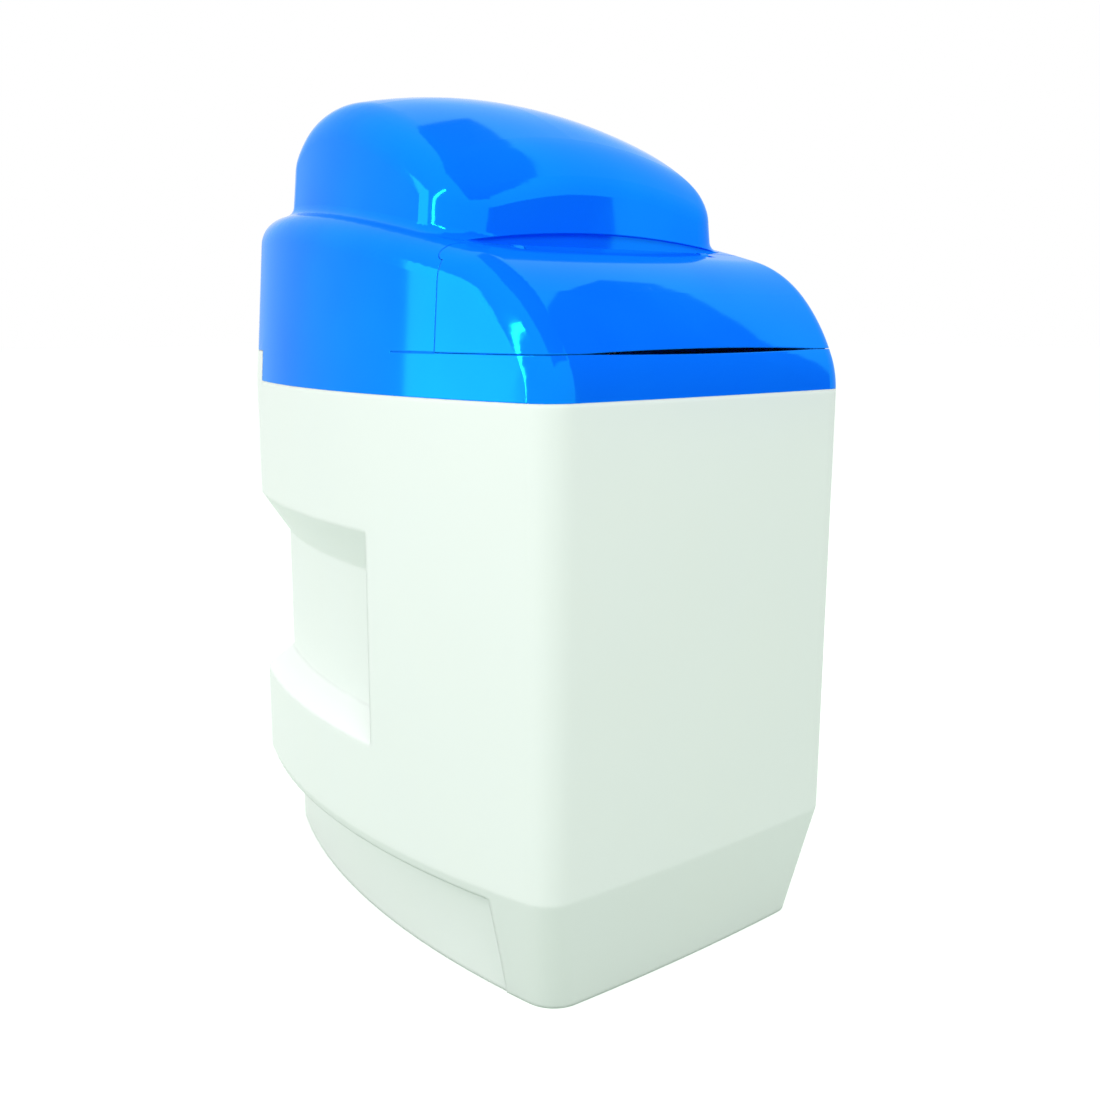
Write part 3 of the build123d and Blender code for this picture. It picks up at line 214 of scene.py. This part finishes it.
looks = {
    # moulded shell
    "cabinet_white": {"color": (0.815, 0.86, 0.84), "rough": 0.45, "specular": 0.35,
                      "grain": 260, "bump": 0.05, "vary": 0.012, "soft": 0.005,
                      "patch": (0.825, 0.862, 0.81), "patchScale": 14, "patchAmount": 0.5},
    # hood: its lighter azure patches are partly the plastic's cloudy tone, partly painted
    # reflection of a bright room
    "hood_blue": {"color": (0.002, 0.205, 1.0), "rough": 0.09, "specular": 0.05,
                  "metal": 0.45, "tint": (0.12, 0.65, 1.0),
                  "grain": 70, "bump": 0.015, "vary": 0.05, "cloud": 11, "soft": 0.0012,
                  "patch": (0.006, 0.34, 1.0), "patchScale": 9, "patchAmount": 0.55},
    # brine well and its fittings
    "well_white": {"color": (0.8, 0.81, 0.79), "rough": 0.45, "grain": 200, "soft": 0.001},
    "cap_blue": {"color": (0.02, 0.12, 0.5), "rough": 0.4, "soft": 0.001},
    "float_plastic": {"color": (0.82, 0.79, 0.68), "rough": 0.5,
                      "relief": "bead", "grain": 500, "bump": 0.1},
    "fitting_black": {"color": (0.018, 0.018, 0.02), "rough": 0.45, "soft": 0.0006},
    "fitting_white": {"color": (0.75, 0.76, 0.76), "rough": 0.4, "soft": 0.0006},
    "tube_white": {"color": (0.85, 0.86, 0.85), "rough": 0.35},
    # pressure vessel
    "vessel_wrap": {"color": (0.62, 0.66, 0.63), "rough": 0.45, "groove": (0.40, 0.44, 0.42),
                    "relief": "wound", "axis": (0.0, 0.085), "starts": 26, "climb": 700.0,
                    "fuzz": 900.0, "bump": 0.5, "depth": 0.0004},
    "boot_black": {"color": (0.015, 0.015, 0.017), "rough": 0.6, "soft": 0.001},
    "resin_amber": {"color": (0.35, 0.15, 0.03), "rough": 0.5, "groove": (0.12, 0.04, 0.01),
                    "relief": "bead", "grain": 1400, "bump": 0.9},
    "riser_grey": {"color": (0.5, 0.52, 0.54), "rough": 0.4},
    "seal_black": {"color": (0.01, 0.01, 0.01), "rough": 0.55},
    # control valve
    "valve_black": {"color": (0.02, 0.02, 0.023), "rough": 0.42,
                    "grain": 700, "bump": 0.25, "soft": 0.0008},
    "piston_grey": {"color": (0.65, 0.65, 0.62), "rough": 0.3},
    "gear_white": {"color": (0.8, 0.78, 0.7), "rough": 0.4, "soft": 0.0003},
    "motor_steel": {"color": (0.5, 0.51, 0.52), "rough": 0.35, "metal": 1.0,
                    "relief": "brushed", "grain": 60.0, "brush": (1.0, 30.0, 1.0)},
    "steel_pin": {"color": (0.6, 0.61, 0.63), "rough": 0.3, "metal": 1.0,
                  "relief": "brushed", "grain": 60.0, "brush": (30.0, 1.0, 1.0)},
    "board_green": {"color": (0.005, 0.14, 0.04), "rough": 0.35, "groove": (0.01, 0.22, 0.07),
                    "relief": "trace", "grain": 160, "bump": 0.2},
    "display_dark": {"color": (0.02, 0.04, 0.03), "rough": 0.15},
    "window_clear": {"color": (0.9, 0.95, 0.95), "rough": 0.05, "clear": 1.0, "vary": 0.01},
    "cover_grey": {"color": (0.035, 0.037, 0.04), "rough": 0.5,
                   "grain": 900, "bump": 0.35, "soft": 0.001},
    "button_grey": {"color": (0.25, 0.27, 0.3), "rough": 0.6, "soft": 0.0004},
    # bypass
    "bypass_grey": {"color": (0.02, 0.02, 0.022), "rough": 0.45,
                    "grain": 700, "bump": 0.25, "soft": 0.0008},
    "knob_red": {"color": (0.42, 0.01, 0.01), "rough": 0.4, "soft": 0.0008},
    "tail_brass": {"color": (0.6, 0.4, 0.12), "rough": 0.3, "metal": 1.0,
                   "relief": "brushed", "grain": 60.0, "brush": (1.0, 1.0, 25.0)},
}
materials = {name: makeMaterial(name, look) for name, look in looks.items()}
slotOf = {entry["node"]: entry["material_slot"] for entry in frame["record"]["subparts"]}
for name, obj in nodes.items():
    material = materials[slotOf[name]]
    if not obj.material_slots:
        obj.data.materials.append(material)
    for slot in obj.material_slots:
        slot.material = material
print("materials ready")

# Studio: white surround, a floor that is seen white and keeps a faint shadow, soft lamps
studio = {
    "floorSize": 40.0,
    "floorColor": (0.31, 0.39, 0.32, 1),
    "floorRough": 0.9,
    "floorSpecular": 0.1,
    "floorLift": 0.75,  # added where the camera sees the floor
    "surround": (0.95, 1.0, 0.968, 1),
    "surroundPower": 0.76,
    "white": (1, 1, 1, 1),
    "lampAim": (0, 0, 0.4),  # every lamp points here
}
lamps = (
    # window
    {"place": (-1.95, 1.25, 0.9), "size": (1.0, 1.3), "power": 9.4, "color": (1.0, 0.93, 0.98)},
    # streak at the corner
    {"place": (-2.3, 0.05, 1.3), "size": (0.14, 2.3), "power": 17.5, "roll": -45},
    # front
    {"place": (-0.6, -2.1, 1.95), "size": (1.2, 1.2), "power": 26.0, "inGloss": False},
    # ceiling
    {"place": (0.3, 0.2, 2.7), "size": (2.6, 2.6), "power": 20.0, "inGloss": False},
    # fill for the right side and the back
    {"place": (1.7, 1.9, 1.3), "size": (1.4, 1.4), "power": 16.0, "inGloss": False},
)
cards = {
    # blue cards, seen in the gloss alone: one close to the lid, one above the hood
    # their corners suit the photograph's view alone
    "lidCard": [(-0.044, -0.201, 0.582), (0.01, -0.167, 0.586), (0.065, -0.174, 0.583),
                (0.12, -0.229, 0.557), (0.146, -0.26, 0.521), (0.22, -0.286, 0.486),
                (0.257, -0.305, 0.4), (-0.056, -0.329, 0.41), (-0.075, -0.3, 0.5),
                (-0.075, -0.26, 0.57)],
    "topCard": [(0.14, 0.67, 2.01), (0.76, 0.83, 1.66), (0.74, 0.21, 1.92),
                (0.55, -1.2, 1.3), (-0.5, -1.3, 1.2), (-0.6, -0.2, 1.9)],
}
cardGlow = {"color": (0.01, 0.04, 0.78, 1), "power": 1.0}


def addLamp(index, spec):
    data = bpy.data.lights.new(f"lamp{index}", "AREA")
    data.shape = "RECTANGLE"
    data.size, data.size_y = spec["size"]
    data.energy = spec["power"]
    data.color = spec.get("color", (1, 1, 1))
    lamp = bpy.data.objects.new(f"lamp{index}", data)
    lamp.location = spec["place"]
    aim = (Vector(studio["lampAim"]) - Vector(spec["place"])).to_track_quat("-Z", "Y")
    roll = Quaternion((0, 0, 1), radians(spec.get("roll", 0)))
    lamp.rotation_euler = (aim @ roll).to_euler()
    lamp.visible_glossy = spec.get("inGloss", True)
    scene.collection.objects.link(lamp)


def addCard(name, corners, glow):
    mesh = bpy.data.meshes.new(name)
    count = len(corners)
    middle = [sum(values) / count for values in zip(*corners)]
    fan = [(index, (index + 1) % count, count) for index in range(count)]
    mesh.from_pydata([*corners, middle], [], fan)
    material = bpy.data.materials.new(name)
    material.use_nodes = True
    shader = material.node_tree.nodes["Principled BSDF"]
    shader.inputs["Base Color"].default_value = (0, 0, 0, 1)
    shader.inputs["Emission Color"].default_value = glow["color"]
    shader.inputs["Emission Strength"].default_value = glow["power"]
    mesh.materials.append(material)
    card = bpy.data.objects.new(name, mesh)
    for kind in ("camera", "diffuse", "transmission", "shadow", "volume_scatter"):
        setattr(card, f"visible_{kind}", False)
    scene.collection.objects.link(card)


def whereSeen(tree):
    # 1 for what the camera sees, also in gloss and through clear plastic
    path = addNode(tree, "ShaderNodeLightPath")
    seen = calc(tree, "MAXIMUM", path.outputs["Is Camera Ray"], path.outputs["Is Glossy Ray"])
    return calc(tree, "MAXIMUM", seen, path.outputs["Is Transmission Ray"])


def addSurround(spec):
    world = bpy.data.worlds.new("surround")
    scene.world = world
    world.use_nodes = True
    tree = world.node_tree
    link = tree.links.new
    tree.nodes.clear()
    soft = addNode(tree, "ShaderNodeBackground",
                   Color=spec["surround"], Strength=spec["surroundPower"])
    plain = addNode(tree, "ShaderNodeBackground", Color=spec["white"], Strength=1.0)
    mix = addNode(tree, "ShaderNodeMixShader")
    out = addNode(tree, "ShaderNodeOutputWorld")
    link(whereSeen(tree), mix.inputs["Fac"])
    link(soft.outputs[0], mix.inputs[1])
    link(plain.outputs[0], mix.inputs[2])
    link(mix.outputs[0], out.inputs["Surface"])


def addFloor(spec):
    half = spec["floorSize"] / 2
    corners = [(-half, -half, 0), (half, -half, 0), (half, half, 0), (-half, half, 0)]
    mesh = bpy.data.meshes.new("floor")
    mesh.from_pydata(corners, [], [(0, 1, 2, 3)])
    floor = bpy.data.objects.new("floor", mesh)
    scene.collection.objects.link(floor)
    material = bpy.data.materials.new("floor")
    material.use_nodes = True
    tree = material.node_tree
    link = tree.links.new
    shader = tree.nodes["Principled BSDF"]
    shader.inputs["Base Color"].default_value = spec["floorColor"]
    shader.inputs["Roughness"].default_value = spec["floorRough"]
    shader.inputs["Specular IOR Level"].default_value = spec["floorSpecular"]
    lift = addNode(tree, "ShaderNodeEmission", Color=spec["white"], Strength=spec["floorLift"])
    both = addNode(tree, "ShaderNodeAddShader")
    mix = addNode(tree, "ShaderNodeMixShader")
    link(shader.outputs[0], both.inputs[0])
    link(lift.outputs[0], both.inputs[1])
    link(whereSeen(tree), mix.inputs["Fac"])
    link(shader.outputs[0], mix.inputs[1])
    link(both.outputs[0], mix.inputs[2])
    link(mix.outputs[0], tree.nodes["Material Output"].inputs["Surface"])
    mesh.materials.append(material)


addSurround(studio)
addFloor(studio)
for index, lamp in enumerate(lamps):
    addLamp(index, lamp)
for name, corners in cards.items():
    addCard(name, corners, cardGlow)
print("studio ready")
